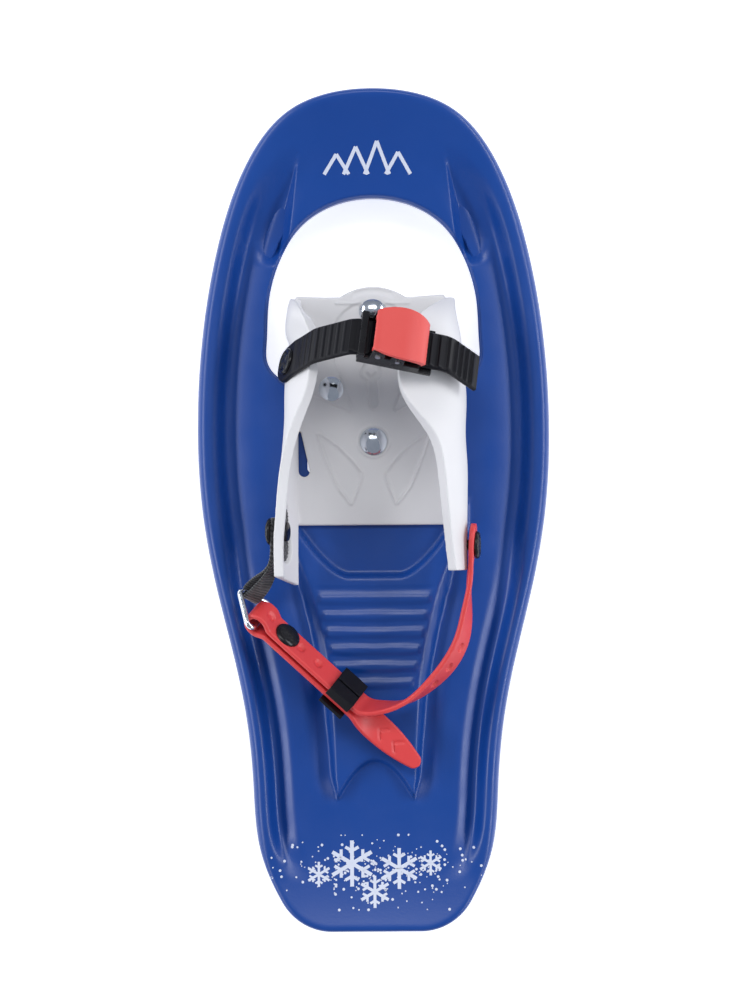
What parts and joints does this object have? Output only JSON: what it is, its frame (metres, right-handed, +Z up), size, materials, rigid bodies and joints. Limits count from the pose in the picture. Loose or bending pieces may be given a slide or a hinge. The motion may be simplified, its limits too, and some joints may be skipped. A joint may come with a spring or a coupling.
{
  "type": "snowshoe",
  "caption": "Child's moulded snowshoe with an open toe hole, a pivoting soft binding over a toothed crampon, a ratcheting toe strap and a rubber heel strap.",
  "frame": {"origin": "on the floor under the centre of the deck's outline", "axes": "+X to the wearer's right, +Y towards the toe, +Z up"},
  "size_m": [0.2016, 0.483, 0.1036],
  "materials": {
    "blue_plastic": "satin moulded",
    "white_rubber": "soft matte",
    "zinc": "bright zinc plated",
    "steel": "satin",
    "black_strap": "satin",
    "black_plastic": "glossy",
    "red_lever": "satin",
    "red_strap": "satin",
    "nylon": "matte",
    "webbing": "woven"
  },
  "bodies": {
    "deck": {"deck": "blue_plastic", "pivot_axle": "steel", "axle_caps": "black_plastic"},
    "binding": {"binding_shell": "white_rubber", "crampon": "steel", "axle_bushes": "nylon", "carriage_bolts": "zinc", "bolt_washers": "zinc", "lock_nuts": "zinc", "toe_strap": "black_strap", "toe_strap_rivet": "black_plastic", "buckle_base": "black_plastic", "buckle_rivets": "steel", "lever_pin": "steel", "pawl_pin": "steel", "pawl_spring": "steel", "heel_strap_rivet": "black_plastic", "webbing_rivet": "black_plastic"},
    "lever": {"buckle_lever": "red_lever"},
    "pawl": {"buckle_pawl": "black_plastic"},
    "heel": {"heel_strap": "red_strap", "lock_button": "black_plastic", "strap_ring": "zinc", "ring_webbing": "webbing"},
    "keeper": {"strap_keeper": "black_plastic"}
  },
  "joints": [
    {"name": "binding_pivot", "type": "hinge", "parent": "deck", "child": "binding", "pos_m": [0, 0.067, 0.008], "axis": [-1, 0, 0], "range_deg": [0, 46]},
    {"name": "lever_hinge", "type": "hinge", "parent": "binding", "child": "lever", "pos_m": [0.00431, 0.09648, 0.09158], "axis": [-0.1179, -0.908, 0.4019], "range_deg": [0, 75]},
    {"name": "pawl_hinge", "type": "hinge", "parent": "binding", "child": "pawl", "pos_m": [0.01508, 0.09363, 0.08831], "axis": [-0.1179, -0.908, 0.4019], "range_deg": [0, 12], "stiffness_Nm_per_rad": 0.004, "springref_deg": -22.92},
    {"name": "heel_strap_swing", "type": "hinge", "parent": "binding", "child": "heel", "pos_m": [0, -0.0169, 0.05], "axis": [-0.9976, 0.0689, 0], "range_deg": [0, 95]},
    {"name": "keeper_slide", "type": "slide", "parent": "heel", "child": "keeper", "axis": [-0.7347, 0.6777, 0.03], "range_m": [-0.001, 0.027]}
  ]
}
